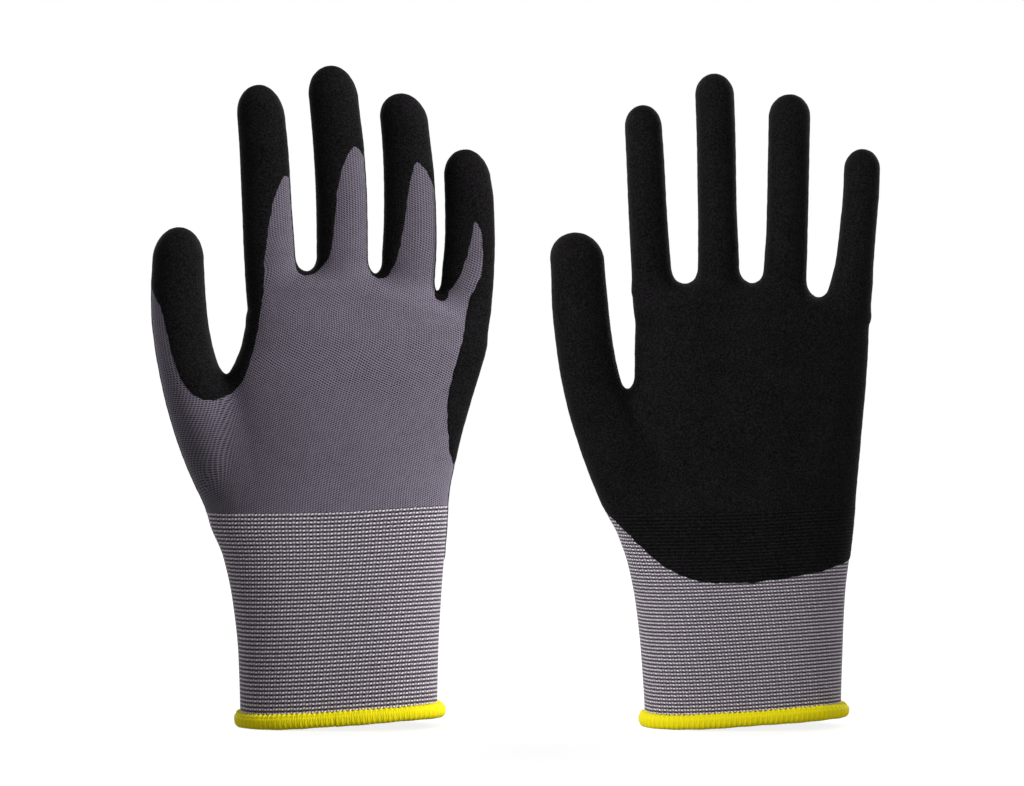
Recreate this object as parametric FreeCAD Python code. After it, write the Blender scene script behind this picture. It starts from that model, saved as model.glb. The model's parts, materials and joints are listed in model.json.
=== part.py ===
import FreeCAD, Part
import math
import os

# A pair of work gloves, size 10, standing upright on their hems with the fingers up.
# Each glove is a seamless knitted liner with a ribbed elastic cuff, a yellow overlock
# stitched round the cuff's raw edge, and a thin film of foamed nitrile that covers the
# palm, the palm side of the fingers and the whole of each fingertip.
#
# Units are millimetres, +Z is up. The origin lies on the floor, in the middle of the pair.
# The right-hand glove stands on the -X side with its back towards -Y, and the left-hand
# glove on the +X side with its palm towards -Y, so both thumbs point to -X.
#
# The liner is one knitted piece on the real glove. Here it is divided at the lines where
# it bends: the wrist, the roots of the fingers and the finger joints.
# Widths and depths below are those of the finished glove, outside the nitrile film.

os.makedirs("parts", exist_ok=True)

# ---- walls and clearances
KNIT_WALL = 0.9         # thickness of the knitted liner
FILM_WALL = 0.4         # thickness of the nitrile film
FILM_GAP = 0.1          # between the liner and the film
SEAM_GAP = 0.3          # between two pieces at a bending line

# ---- offsets of the four faces of the glove's wall, from its finished outside
FILM_INNER = -FILM_WALL
KNIT_OUTER = FILM_INNER - FILM_GAP
KNIT_INNER = KNIT_OUTER - KNIT_WALL

# ---- heights that both gloves share
HEM_HEIGHT = 6.0        # yellow overlock
CUFF_MIDDLE_Z = 30.0
WRIST_Z = 54.0          # where the glove bends at the wrist
CUFF_TOP_Z = 86.5       # the ribbed knit ends and the plain knit begins
PALM_Z = 112.0
THUMB_ROOT_Z = 140.0
KNUCKLE_Z = 160.0

# ---- half widths and half depths of the cuff and hand at those heights
HEM_HALF_WIDTH = 38.9
HEM_HALF_DEPTH = 20.5
CUFF_HALF_WIDTH = 39.6
WRIST_HALF_WIDTH = 41.8
WRIST_HALF_DEPTH = 20.0
CUFF_TOP_HALF_WIDTH = 46.8
CUFF_TOP_HALF_DEPTH = 18.4
PALM_HALF_DEPTH = 17.0
THUMB_ROOT_HALF_DEPTH = 16.2
KNUCKLE_HALF_DEPTH = 14.2

# ---- hem
HEM_PROUD = 2.5         # how far the overlock stands out of the cuff
HEM_INSIDE = 3.0        # how far it reaches inwards of the cuff's outside
HEM_ROUND = 1.7         # rounding of its outer edges
EDGE_IN_HEM = 3.6       # the cuff's raw edge runs this far down into the overlock
EDGE_CLEARANCE = 0.1

# ---- elastic yarn, laid in rings against the inside of the cuff
ELASTIC_PITCH = 3.2
ELASTIC_THICK = 0.5
ELASTIC_HEIGHT = 0.7
ELASTIC_CLEARANCE = 0.1
ELASTIC_MARGIN = 2.0    # bare cuff above the hem and below the wrist

# ---- fingers: each bends at its root, its middle joint and its tip joint
ROOT_SHARE = 0.31       # share of the free length between root and middle joint
MIDDLE_SHARE = 0.34     # share between middle joint and tip joint
FINGER_BURIED = 16.0    # how far a finger's tube runs down into the hand, where it narrows
FINGER_BURIED_SHARE = 0.6
FILM_WRAP = 2.0         # how far the film wraps past the middle of the glove, to its back

# ---- top of the hand between the fingers
HAND_TOP_ROUND = 4.0    # height of its rounding
HAND_TOP_HALF_DEPTH = 7.6

# ---- drawing of the rounded outlines
OVAL_POWER = 2.3        # 2 is an ellipse, more is squarer
OVAL_POINTS = 16
DOME_ANGLES = (0.0, 25.0, 48.0, 66.0, 80.0)
BIG = 600.0             # larger than the pair

FINGERS = ("index", "middle", "ring", "little")

# ---- the right-hand glove: broad flat fingers, tilted slightly inwards
# x is measured from the middle of the hem.
RIGHT = {
    "name": "right",
    "palm": 1,                  # the palm faces +Y
    "hem_x": -69.3,
    "cuff_centres": (-0.6, -0.7, -1.5, -3.9),
    "palm_centre": -0.9,
    "thumb_root_centre": 5.6,
    "knuckle_centre": 10.9,
    "palm_half_width": 48.2,
    "thumb_root_half_width": 49.1,
    "knuckle_half_width": 48.4,
    "hand_top_z": 174.5,
    "hand_top_tilt": -8.6,
    # root x, tip x, root height, tip height, root half width, tip half width
    "index": (-27.6, -31.4, 186.0, 253.0, 10.2, 9.7),
    "middle": (0.8, -2.8, 186.0, 261.5, 10.4, 9.8),
    "ring": (27.2, 25.0, 184.0, 250.4, 10.9, 9.8),
    "little": (51.0, 50.2, 176.0, 228.0, 10.2, 9.2),
    "finger_half_depth": 7.4,
    "thumb_half_depth": 10.0,
    "thumb_palm_shift": 2.0,
    # x, height, half width and tilt of the thumb's sections, from inside the hand upwards
    "thumb_lobe": ((-27.0, 58.0, 13.0, 0.0), (-36.4, 86.5, 16.3, 4.0),
                   (-44.6, 104.0, 15.9, 8.0), (-52.6, 122.0, 14.9, 11.0)),
    "thumb_root": (-60.0, 139.5, 12.8, 12.0),
    "thumb_joint": (-64.2, 168.5, 11.2, 4.0),
    "thumb_tip": (-64.0, 197.4, 10.3, 0.0),
    # lower edge of the film: x and height at the thumb side, the middle, the little side
    "film_edge": ((-58.0, 90.0), (-8.0, 58.0), (46.0, 65.0)),
}

# ---- the left-hand glove: slimmer, rounder fingers, spread wider
LEFT = {
    "name": "left",
    "palm": -1,                 # the palm faces -Y
    "hem_x": 90.7,
    "cuff_centres": (-0.6, -1.0, -2.1, -4.9),
    "palm_centre": -2.3,
    "thumb_root_centre": 1.7,
    "knuckle_centre": 2.7,
    "palm_half_width": 48.1,
    "thumb_root_half_width": 46.6,
    "knuckle_half_width": 46.9,
    "hand_top_z": 171.0,
    "hand_top_tilt": -4.5,
    "index": (-37.3, -40.8, 182.0, 245.7, 8.0, 7.4),
    "middle": (-10.7, -12.1, 182.0, 258.0, 8.0, 7.7),
    "ring": (16.2, 17.8, 181.0, 249.6, 8.4, 8.1),
    "little": (43.6, 46.4, 177.0, 228.0, 7.8, 7.2),
    "finger_half_depth": 8.8,
    "thumb_half_depth": 10.4,
    "thumb_palm_shift": 2.0,
    "thumb_lobe": ((-27.0, 58.0, 13.0, 0.0), (-38.8, 86.5, 16.3, 4.0),
                   (-46.0, 104.0, 15.6, 8.0), (-53.0, 120.0, 14.6, 11.0)),
    "thumb_root": (-60.6, 135.6, 12.6, 12.0),
    "thumb_joint": (-64.8, 166.0, 11.4, 5.0),
    "thumb_tip": (-67.2, 195.0, 10.2, 3.0),
    "film_edge": ((-58.0, 90.0), (-8.0, 58.0), (46.0, 65.0)),
}


def signed_power(value, power):
    return math.copysign(abs(value) ** power, value)


def oval(x, y, z, half_width, half_depth, tilt=0.0):
    """A closed rounded outline about (x, y, z), turned about Y by tilt degrees."""
    turn = math.radians(tilt)
    points = []
    for step in range(OVAL_POINTS):
        angle = 2.0 * math.pi * step / OVAL_POINTS
        across = half_width * signed_power(math.cos(angle), 2.0 / OVAL_POWER)
        depth = half_depth * signed_power(math.sin(angle), 2.0 / OVAL_POWER)
        points.append(FreeCAD.Vector(x + across * math.cos(turn), y + depth,
                                     z + across * math.sin(turn)))
    curve = Part.BSplineCurve()
    curve.interpolate(Points=points, PeriodicFlag=True)
    return Part.Wire([curve.toShape()])


def slab(low, high):
    """Everything between two heights."""
    return Part.makeBox(BIG, BIG, high - low, FreeCAD.Vector(-BIG / 2, -BIG / 2, low))


def half_space(x, z, tilt, side):
    """Everything above (side 1) or below (side -1) a plane through (x, 0, z)."""
    low = 0.0 if side > 0 else -BIG
    box = Part.makeBox(BIG, BIG, BIG, FreeCAD.Vector(-BIG / 2, -BIG / 2, low))
    box.rotate(FreeCAD.Vector(0, 0, 0), FreeCAD.Vector(0, 1, 0), -tilt)
    turn = math.radians(tilt)
    shift = side * SEAM_GAP / 2
    box.translate(FreeCAD.Vector(x - shift * math.sin(turn), 0, z + shift * math.cos(turn)))
    return box


def hand_tube(glove, offset):
    """The cuff and the hand in one tube, from the floor to the crotches of the fingers."""
    hem, cuff, wrist, cuff_top = glove["cuff_centres"]
    sections = [
        (0.0, hem, HEM_HALF_WIDTH, HEM_HALF_DEPTH, 0.0),
        (CUFF_MIDDLE_Z, cuff, CUFF_HALF_WIDTH, HEM_HALF_DEPTH, 0.0),
        (WRIST_Z, wrist, WRIST_HALF_WIDTH, WRIST_HALF_DEPTH, 0.0),
        (CUFF_TOP_Z, cuff_top, CUFF_TOP_HALF_WIDTH, CUFF_TOP_HALF_DEPTH, 0.0),
        (PALM_Z, glove["palm_centre"], glove["palm_half_width"], PALM_HALF_DEPTH, 0.0),
        (THUMB_ROOT_Z, glove["thumb_root_centre"], glove["thumb_root_half_width"],
         THUMB_ROOT_HALF_DEPTH, 0.0),
        (KNUCKLE_Z, glove["knuckle_centre"], glove["knuckle_half_width"],
         KNUCKLE_HALF_DEPTH, glove["hand_top_tilt"] / 2),
    ]
    for drop, depth in ((HAND_TOP_ROUND, KNUCKLE_HALF_DEPTH * 0.8), (0.0, HAND_TOP_HALF_DEPTH)):
        sections.append((glove["hand_top_z"] - drop + offset, glove["knuckle_centre"],
                         glove["knuckle_half_width"], depth, glove["hand_top_tilt"]))
    wires = []
    for z, x, half_width, half_depth, tilt in sections:
        wires.append(oval(x, 0.0, z, half_width + offset, half_depth + offset, tilt))
    return Part.makeLoft(wires, True, True)


def dome_wires(x, y, top, half_width, half_depth, offset, tilt=0.0):
    """Outlines of a rounded tip whose highest point is at top."""
    rise = half_width + offset
    wires = []
    for angle in DOME_ANGLES:
        lift = rise * math.sin(math.radians(angle))
        shrink = math.cos(math.radians(angle))
        wires.append(oval(x, y, top + offset - rise + lift, (half_width + offset) * shrink,
                          (half_depth + offset) * shrink, tilt))
    return wires


def finger_x(glove, finger, z):
    """Middle of a finger at height z, along its straight line."""
    root_x, tip_x, root_z, tip_z = glove[finger][:4]
    return root_x + (tip_x - root_x) * (z - root_z) / (tip_z - root_z)


def finger_tube(glove, finger, offset):
    """One finger, from inside the hand to its rounded tip."""
    root_z, tip_z, root_half, tip_half = glove[finger][2:]
    half_depth = glove["finger_half_depth"]
    wires = []
    for z, share in ((root_z - FINGER_BURIED, FINGER_BURIED_SHARE), (root_z, 1.0)):
        wires.append(oval(finger_x(glove, finger, z), 0.0, z, (root_half + offset) * share,
                          (half_depth + offset) * share))
    wires += dome_wires(finger_x(glove, finger, tip_z - tip_half), 0.0, tip_z, tip_half,
                        half_depth, offset)
    return Part.makeLoft(wires, True, True)


def thumb_tube(glove, offset):
    """The ball of the thumb and the thumb, from inside the hand to its rounded tip."""
    y = glove["palm"] * glove["thumb_palm_shift"]
    half_depth = glove["thumb_half_depth"]
    lobe = glove["thumb_lobe"]
    lobe_depth = THUMB_ROOT_HALF_DEPTH * 0.8
    wires = []
    for x, z, half_width, tilt in lobe:
        wires.append(oval(x, y, z, half_width + offset, lobe_depth + offset, tilt))
    for key in ("thumb_root", "thumb_joint"):
        x, z, half_width, tilt = glove[key]
        depth = half_depth * half_width / glove["thumb_joint"][2]
        wires.append(oval(x, y, z, half_width + offset, depth + offset, tilt))
    x, top, half_width, tilt = glove["thumb_tip"]
    wires += dome_wires(x, y, top, half_width, half_depth * 0.92, offset, tilt)
    return Part.makeLoft(wires, True, True)


def hand_form(glove, offset, reach):
    """Cuff, hand and the stumps of the thumb and fingers, joined.

    reach is how far the stumps run past their bending lines."""
    x, z, half_width, tilt = glove["thumb_root"]
    stumps = [thumb_tube(glove, offset).common(half_space(x, z + reach, tilt, -1))]
    for finger in FINGERS:
        below = half_space(0.0, glove[finger][2] + reach, 0.0, -1)
        stumps.append(finger_tube(glove, finger, offset).common(below))
    return hand_tube(glove, offset).multiFuse(stumps)


def palm_side(glove):
    """Everything on the palm side of the glove, and a little of its back."""
    low = -FILM_WRAP if glove["palm"] > 0 else FILM_WRAP - BIG
    return Part.makeBox(BIG, BIG, BIG, FreeCAD.Vector(-BIG / 2, low, -BIG / 2))


def film_lower_edge(glove):
    """Everything below the curved edge where the film ends on the cuff."""
    thumb_side, middle, little_side = [FreeCAD.Vector(x, -BIG / 2, z)
                                       for x, z in glove["film_edge"]]
    corner_a = FreeCAD.Vector(little_side.x, -BIG / 2, -BIG / 2)
    corner_b = FreeCAD.Vector(thumb_side.x, -BIG / 2, -BIG / 2)
    edges = [Part.Arc(thumb_side, middle, little_side).toShape(),
             Part.makeLine(little_side, corner_a),
             Part.makeLine(corner_a, corner_b),
             Part.makeLine(corner_b, thumb_side)]
    return Part.Face(Part.Wire(edges)).extrude(FreeCAD.Vector(0, BIG, 0))


def hem(glove):
    """The overlock: a rounded ring that grips the cuff's raw edge in a slot."""
    centre = glove["cuff_centres"][0]
    rings = []
    for offset in (HEM_PROUD, -HEM_INSIDE):
        wires = [oval(centre, 0.0, z, HEM_HALF_WIDTH + offset, HEM_HALF_DEPTH + offset)
                 for z in (0.0, HEM_HEIGHT)]
        rings.append(Part.makeLoft(wires, True, True))
    ring = rings[0].cut(rings[1])
    outer_edges = [edge for edge in ring.Edges
                   if edge.BoundBox.XLength > 2 * HEM_HALF_WIDTH and edge.BoundBox.ZLength < 0.1]
    ring = ring.makeFillet(HEM_ROUND, outer_edges)
    wall = hand_tube(glove, KNIT_OUTER + EDGE_CLEARANCE).cut(
        hand_tube(glove, KNIT_INNER - EDGE_CLEARANCE))
    return ring.cut(wall.common(slab(HEM_HEIGHT - EDGE_IN_HEM - EDGE_CLEARANCE, WRIST_Z)))


def elastic_rings(glove):
    """Rings of elastic yarn against the inside of the cuff."""
    face = KNIT_INNER - ELASTIC_CLEARANCE
    wall = hand_tube(glove, face).cut(hand_tube(glove, face - ELASTIC_THICK))
    slabs = []
    z = HEM_HEIGHT + ELASTIC_MARGIN
    while z + ELASTIC_HEIGHT < WRIST_Z - ELASTIC_MARGIN:
        slabs.append(slab(z, z + ELASTIC_HEIGHT))
        z += ELASTIC_PITCH
    return Part.makeCompound(wall.common(Part.makeCompound(slabs)).Solids)


def finger_pieces(glove, finger):
    """The three sections of a finger: knit and film, and the fully coated tip."""
    root_z, tip_z = glove[finger][2:4]
    middle_z = root_z + ROOT_SHARE * (tip_z - root_z)
    tip_joint_z = middle_z + MIDDLE_SHARE * (tip_z - root_z)
    knit = finger_tube(glove, finger, KNIT_OUTER).cut(finger_tube(glove, finger, KNIT_INNER))
    film = finger_tube(glove, finger, 0.0).cut(finger_tube(glove, finger, FILM_INNER))
    palm_film = film.common(palm_side(glove))
    pieces = {}
    for name, low, high in (("base", root_z, middle_z), ("middle", middle_z, tip_joint_z)):
        room = slab(low + SEAM_GAP / 2, high - SEAM_GAP / 2)
        pieces[finger + "_" + name + "_knit"] = knit.common(room)
        pieces[finger + "_" + name + "_coating"] = palm_film.common(room)
    room = slab(tip_joint_z + SEAM_GAP / 2, BIG / 2)
    pieces[finger + "_tip"] = Part.makeCompound([knit.common(room).Solids[0],
                                                 film.common(room).Solids[0]])
    return pieces


def thumb_pieces(glove):
    """The two sections of the thumb."""
    root_x, root_z, root_half, root_tilt = glove["thumb_root"]
    joint_x, joint_z, joint_half, joint_tilt = glove["thumb_joint"]
    knit = thumb_tube(glove, KNIT_OUTER).cut(thumb_tube(glove, KNIT_INNER))
    film = thumb_tube(glove, 0.0).cut(thumb_tube(glove, FILM_INNER))
    above_root = half_space(root_x, root_z, root_tilt, 1)
    below_joint = half_space(joint_x, joint_z, joint_tilt, -1)
    above_joint = half_space(joint_x, joint_z, joint_tilt, 1)
    return {
        "thumb_base_knit": knit.common(above_root).common(below_joint),
        "thumb_base_coating": film.common(above_root).common(below_joint).common(
            palm_side(glove)),
        "thumb_tip": Part.makeCompound([knit.common(above_joint).Solids[0],
                                        film.common(above_joint).Solids[0]]),
    }


def glove_pieces(glove):
    """Every piece of one glove, in the glove's own frame."""
    knit = hand_form(glove, KNIT_OUTER, 0.0).cut(hand_form(glove, KNIT_INNER, 2.0))
    film = hand_form(glove, 0.0, 0.0).cut(hand_form(glove, FILM_INNER, 2.0))
    film = film.common(palm_side(glove)).common(slab(WRIST_Z + SEAM_GAP, BIG / 2))
    pieces = {
        "cuff_hem": hem(glove),
        "cuff_knit": knit.common(slab(HEM_HEIGHT - EDGE_IN_HEM, WRIST_Z - SEAM_GAP / 2)),
        "cuff_elastic": elastic_rings(glove),
        "wrist_knit": knit.common(slab(WRIST_Z + SEAM_GAP / 2, CUFF_TOP_Z)),
        "hand_knit": knit.common(slab(CUFF_TOP_Z, BIG / 2)),
        "palm_coating": film.cut(film_lower_edge(glove)),
    }
    for finger in FINGERS:
        pieces.update(finger_pieces(glove, finger))
    pieces.update(thumb_pieces(glove))
    return pieces


for glove in (RIGHT, LEFT):
    for name, shape in glove_pieces(glove).items():
        shape.translate(FreeCAD.Vector(glove["hem_x"], 0, 0))
        solids = shape.Solids
        print(glove["name"], name, len(solids), "solids", round(shape.Volume, 1), "mm3")
        shape.exportStep("parts/" + glove["name"] + "_" + name + ".step")
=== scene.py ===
"""A pair of knitted work gloves with dipped palms, standing upright on their hems.

Each glove is worked out in its own space, in millimetres: x across the hand from the middle of the
hem, p towards the palm, z up. place() turns that into the row frame, in metres.
"""

from itertools import chain
import json
import math

import bpy
import numpy as np
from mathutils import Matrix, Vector

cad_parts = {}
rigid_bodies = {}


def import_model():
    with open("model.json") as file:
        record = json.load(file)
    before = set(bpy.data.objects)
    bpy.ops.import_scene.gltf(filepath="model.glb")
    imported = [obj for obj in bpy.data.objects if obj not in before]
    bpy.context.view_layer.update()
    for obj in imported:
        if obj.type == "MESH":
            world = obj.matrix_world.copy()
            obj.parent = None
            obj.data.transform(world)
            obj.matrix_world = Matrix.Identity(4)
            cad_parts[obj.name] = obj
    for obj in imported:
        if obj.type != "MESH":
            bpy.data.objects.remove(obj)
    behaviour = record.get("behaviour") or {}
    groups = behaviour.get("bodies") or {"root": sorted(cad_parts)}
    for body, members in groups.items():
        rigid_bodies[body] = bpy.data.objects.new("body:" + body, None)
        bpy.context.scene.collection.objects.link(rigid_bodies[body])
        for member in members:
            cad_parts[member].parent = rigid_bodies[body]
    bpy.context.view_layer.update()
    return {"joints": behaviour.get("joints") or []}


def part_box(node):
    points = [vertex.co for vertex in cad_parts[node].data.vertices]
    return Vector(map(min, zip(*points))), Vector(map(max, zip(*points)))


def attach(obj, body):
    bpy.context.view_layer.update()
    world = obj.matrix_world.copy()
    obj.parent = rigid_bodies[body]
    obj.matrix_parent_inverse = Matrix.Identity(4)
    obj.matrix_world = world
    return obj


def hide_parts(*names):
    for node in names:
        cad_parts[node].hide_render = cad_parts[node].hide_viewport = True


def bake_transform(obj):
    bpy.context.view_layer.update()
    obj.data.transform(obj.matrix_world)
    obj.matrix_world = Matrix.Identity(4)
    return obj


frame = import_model()

MM = 0.001

# ---- fabric, in millimetres
LINER_WALL = 0.9
FILM_WALL = 0.36
FILM_LIFT = 0.04        # inner face of the film above the knit
FILM_RIM = 0.10         # thickness at the film's very edge
FILM_RIM_WIDTH = 1.1    # distance over which it thickens
COURSE = 0.90           # height of one row of plain knit
WALES_CUFF = 160        # dots of elastic round the cuff
COLUMNS_HAND = 216      # columns of stitches round the hand
COLUMNS_FINGER = 48
COLUMNS_THUMB = 56
CUFF_TOP = 86.5
CUFF_FOOT = 2.6
CUFF_TWIST = 8          # wales that the cuff's knit drifts towards +x up its back
CUFF_SAG = 1.6          # how much the cuff's upper rows sag towards the thumb
HEM_RISE = 0.038        # how much the hem rises towards +x, and how much more in its middle
HEM_TWIST = 0.030
HEM_RIBS = 98
HEM_MIDDLE = 3.05
GRID = 0.95             # spacing of the surface's vertices
SURFACE_LOW = (-80, -27, 50)
SURFACE_HIGH = (68, 27, 266)
HAND_ROUNDNESS = 2.35   # power of a section's curve: 2 is an ellipse, more is squarer
DIGIT_ROUNDNESS = 2.15
HAND_DOME = 9.0         # height of the rounding at the hand's top
THUMB_FORWARD = 1.6     # how far the thumb stands towards the palm
GLOVE_OFFSET = 0.6      # the glove's x 0 from the middle of its hem

# ---- where the sections begin, below their hinges, and how long each bend is
BASE_BELOW = 5.5
JOINT_BELOW = 8.0
BASE_BEND = 13.5
JOINT_BEND = 16.0
WRIST_BEND = (-30.0, 4.0)
THUMB_FROM = 120.0      # height from which the thumb is apart from the hand
UPRIGHT = (0.0, 1.0)
FINGERS = ("index", "middle", "ring", "little")

# ---- outlines of the knit. A row is (height, middle, half width, half depth), and before a
# digit's rows come its top and how far down that is rounded.
RIGHT = {
    "name": "right",
    "palm": 1,
    "elastic_row": 1.62,    # height between two rows of elastic in the cuff
    "thumb_blend": 9.0,     # rounding between the thumb and the hand
    "crotch_rims": ("wide", "middling", "narrow"),
    "hand": [(0, -0.8, 39, 20.2), (27, -0.9, 39.6, 20.3), (50, -1.5, 41.4, 20),
        (68, -2.7, 43.9, 19.2), (86, -5.2, 47.5, 18.2), (110, -1.4, 47.8, 16.8),
        (126, 2.1, 48.5, 16.4), (140, 5.9, 48.9, 15.8), (152, 9.5, 48.2, 15),
        (158, 9.9, 47.4, 14.4), (162, 9.2, 46.4, 13.9), (182, 11.6, 43.6, 11.5)],
    "hand_top": [(-42, 182.6), (-12, 180.9), (14.6, 177.7), (40.7, 171.4), (60, 169.5)],
    "index": (253.7, 12, [(150, -24.2, 7.1, 6.5), (168, -27.1, 9.8, 7.6), (186, -28.2, 9.8, 7.5),
        (205, -29.3, 9.5, 7.3), (228, -30.5, 9.3, 7.2), (240, -31.5, 9.1, 7),
        (253, -32.5, 8.9, 7)]),
    "middle": (261.3, 12.2, [(150, 1.5, 7.1, 6.5), (168, 0.9, 9.4, 7.7), (186, 0.6, 9.8, 7.6),
        (205, 0.4, 9.8, 7.4), (228, -0.8, 9.7, 7.3), (246, -2.6, 9.4, 7.1), (261, -3.9, 9.4, 7)]),
    "ring": (250.3, 10.6, [(150, 24, 7.1, 6.5), (168, 26.2, 9.6, 7.7), (186, 27.1, 10.4, 7.6),
        (200, 27.5, 10.1, 7.4), (216, 27.1, 9.7, 7.3), (238, 25.3, 9.1, 7), (250, 23.9, 9.1, 7)]),
    "little": (228.1, 10.6, [(142, 45.5, 7.6, 5.5), (150, 47.5, 9.2, 6.3), (160, 49.2, 9.4, 7),
        (176, 50.2, 10, 7.2), (195, 51.2, 9.5, 7), (209, 50.9, 9.3, 6.8), (218, 50.1, 8.8, 6.7),
        (228, 49.3, 8.5, 6.6)]),
    "thumb": (197.3, 12.3, [(58, -24, 12.6, 9), (86, -35, 17.6, 14), (104, -44.4, 16.7, 14.2),
        (122, -53, 14.6, 13.4), (139, -59.7, 12, 11.8), (151, -62.7, 11.1, 10.6),
        (163, -64.3, 10.7, 10), (176, -64.8, 10.2, 9.6), (186, -64.7, 9.7, 9.2),
        (197, -64.4, 9.5, 9)]),
}
LEFT = {
    "name": "left",
    "palm": -1,
    "elastic_row": 1.42,
    "thumb_blend": 6.8,
    "crotch_rims": ("wide", "middling", "middling"),
    "hand": [(0, -0.6, 38.8, 20.2), (28, -1, 39.9, 20.3), (50, -1.7, 41.6, 20),
        (65, -2.3, 43.9, 19.2), (86, -4.2, 47.8, 18.2), (110, -2.9, 48.5, 16.8),
        (126, -0.5, 47.5, 16.4), (138, 2.4, 45.6, 15.8), (152, 2.9, 45.9, 15),
        (160, 3.1, 45.9, 14.4), (168, 2.7, 45.4, 13.8), (182, 4.2, 44, 11.5)],
    "hand_top": [(-48, 178.5), (-22.9, 176.4), (2.8, 174.8), (30.4, 170.6), (52, 168)],
    "index": (245.6, 8.2, [(148, -32, 6.1, 6.5), (164, -35.4, 8, 8.6), (182, -36.9, 7.5, 8.7),
        (197, -37.9, 7.3, 8.5), (225, -39.3, 7.1, 8.2), (245, -40.2, 6.9, 8)]),
    "middle": (258.1, 8.4, [(148, -9.5, 6.1, 6.5), (164, -10.2, 8, 8.7), (182, -10.2, 7.8, 8.8),
        (206, -10.7, 7.3, 8.6), (235, -11.2, 7.3, 8.4), (258, -11.9, 7.3, 8.2)]),
    "ring": (249.9, 8.6, [(148, 13, 6.1, 6.5), (164, 15.4, 8.2, 8.7), (182, 16.3, 8.1, 8.8),
        (197, 17, 7.8, 8.6), (225, 17.6, 7.8, 8.4), (250, 18, 7.8, 8.2)]),
    "little": (228.2, 7.8, [(144, 37, 6.6, 5.5), (160, 40.4, 8.5, 7.8), (173, 42.2, 8.2, 8.4),
        (184, 43.8, 7.1, 8.3), (197, 45.1, 6.8, 8), (214, 46.5, 6.7, 7.8), (228, 46.8, 6.7, 7.6)]),
    "thumb": (195, 10.6, [(58, -26, 13.6, 9), (86, -36.7, 18, 14), (104, -46.2, 16.2, 14.2),
        (120, -53.5, 14.5, 13.4), (136, -60.6, 11.4, 12), (154, -63.8, 10.9, 10.9),
        (166, -65.1, 10.8, 10.5), (182, -66.1, 10.3, 10), (195, -67, 10.4, 9.6)]),
}

# ---- where the film ends, with places across in half widths. A finger's knitted tongue is (share
# of the finger that it reaches, its peak's place). Its sides are (share of its height, place from
# the peak), from the peak down.
TONGUES = {"index": (0.47, 0.86), "middle": (0.58, 0.68), "ring": (0.59, 0.41),
           "little": (0.455, 0.26)}
TONGUE_LEFT = {
    "index": [(0.97, -0.09), (0.86, -0.26), (0.7, -0.5), (0.5, -0.68), (0.26, -0.83), (0.08, -0.95),
        (-0.1, -1.04)],
    "middle": [(0.97, -0.12), (0.92, -0.25), (0.83, -0.5), (0.6, -0.79), (0.36, -0.91),
        (0.19, -0.99), (0.05, -1.08), (-0.03, -1.2)],
    "ring": [(0.97, -0.1), (0.88, -0.25), (0.77, -0.38), (0.64, -0.46), (0.52, -0.54),
        (0.35, -0.62), (0.17, -0.73), (0.02, -0.84), (-0.09, -1.04)],
    "little": [(0.97, -0.05), (0.87, -0.12), (0.71, -0.19), (0.5, -0.27), (0.29, -0.4),
        (0.08, -0.55), (-0.05, -0.73), (-0.16, -0.96)],
}
TONGUE_RIGHT = [(0.975, 0.13), (0.94, 0.25), (0.88, 0.4), (0.78, 0.55), (0.68, 0.64), (0.5, 0.8),
        (0.08, 1.1)]
LITTLE_RIGHT = [(0.97, 0.08), (0.88, 0.19), (0.72, 0.28), (0.45, 0.32), (0.1, 0.32)]
PAST_THE_SIDE = 1.1     # a tongue that reaches a finger's side stops here
# how far the film comes over a crotch between two fingers onto the back: (x, height) from it
CROTCH_RIMS = {
    "wide": [(-4.6, 4), (-3.3, 0.5), (-2, -0.9), (-0.2, -1.8), (2.8, -1.4), (4.4, -0.5), (6.1, 1)],
    "middling": [(-2.3, 5), (-1.8, 1.2), (-0.7, -0.8), (1.8, -1.9), (4.3, -1.8), (5.8, -0.5)],
    "narrow": [(-0.8, 6), (-0.6, 0.5), (-0.4, -2.2), (0.4, -3.6), (2.1, -4), (3.9, -3.4),
        (5.1, -1.1)],
}
# the band along the hand's side: (height above the little finger's root, place across the hand)
HAND_SIDE = [(-6, 0.925), (-10, 0.895), (-18, 0.835), (-27, 0.8), (-42, 0.8), (-52, 0.84),
        (-61, 0.9), (-69, 0.95), (-76, 1.03)]
# round the thumb's crotch, from the index finger down and out to the thumb: (x from the crotch,
# height above it)
CROTCH_ROUND = [(16.2, 35), (14.8, 25), (13.6, 17), (11.8, 8), (8.6, -1.5), (4.2, -7.2),
        (-2.2, -10.1), (-8, -9.8), (-12.6, -7.2), (-16.9, -0.8), (-19.8, 7.4), (-21.9, 15.8),
        (-24.2, 25.4), (-26.8, 30.6), (-30, 36)]
# the film's lower edge across the palm and the cuff: (x, height)
PALM_EDGE = [(-80, 118), (-56, 88), (-48.5, 80.5), (-41.5, 73), (-31.6, 64.2), (-21.7, 59.4),
        (-12, 57.6), (0, 57.2), (18, 58.6), (30, 60.4), (41, 64), (60, 69)]
# soft folds in the palm: (x, height, slope in degrees, half length, half width, rise)
FOLDS = [(-29, 161, -28, 13, 3, 1.2), (-14, 168, -12, 9, 2.8, 0.8), (22, 156, -6, 20, 3.4, 0.9),
        (-20, 148, -38, 14, 3.8, 0.9), (-40, 124, -58, 13, 2.8, 1.1), (-28, 108, -64, 16, 3.4, 1),
        (10, 134, 12, 18, 5, 0.7), (34, 120, 80, 20, 4, 0.7)]


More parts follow.
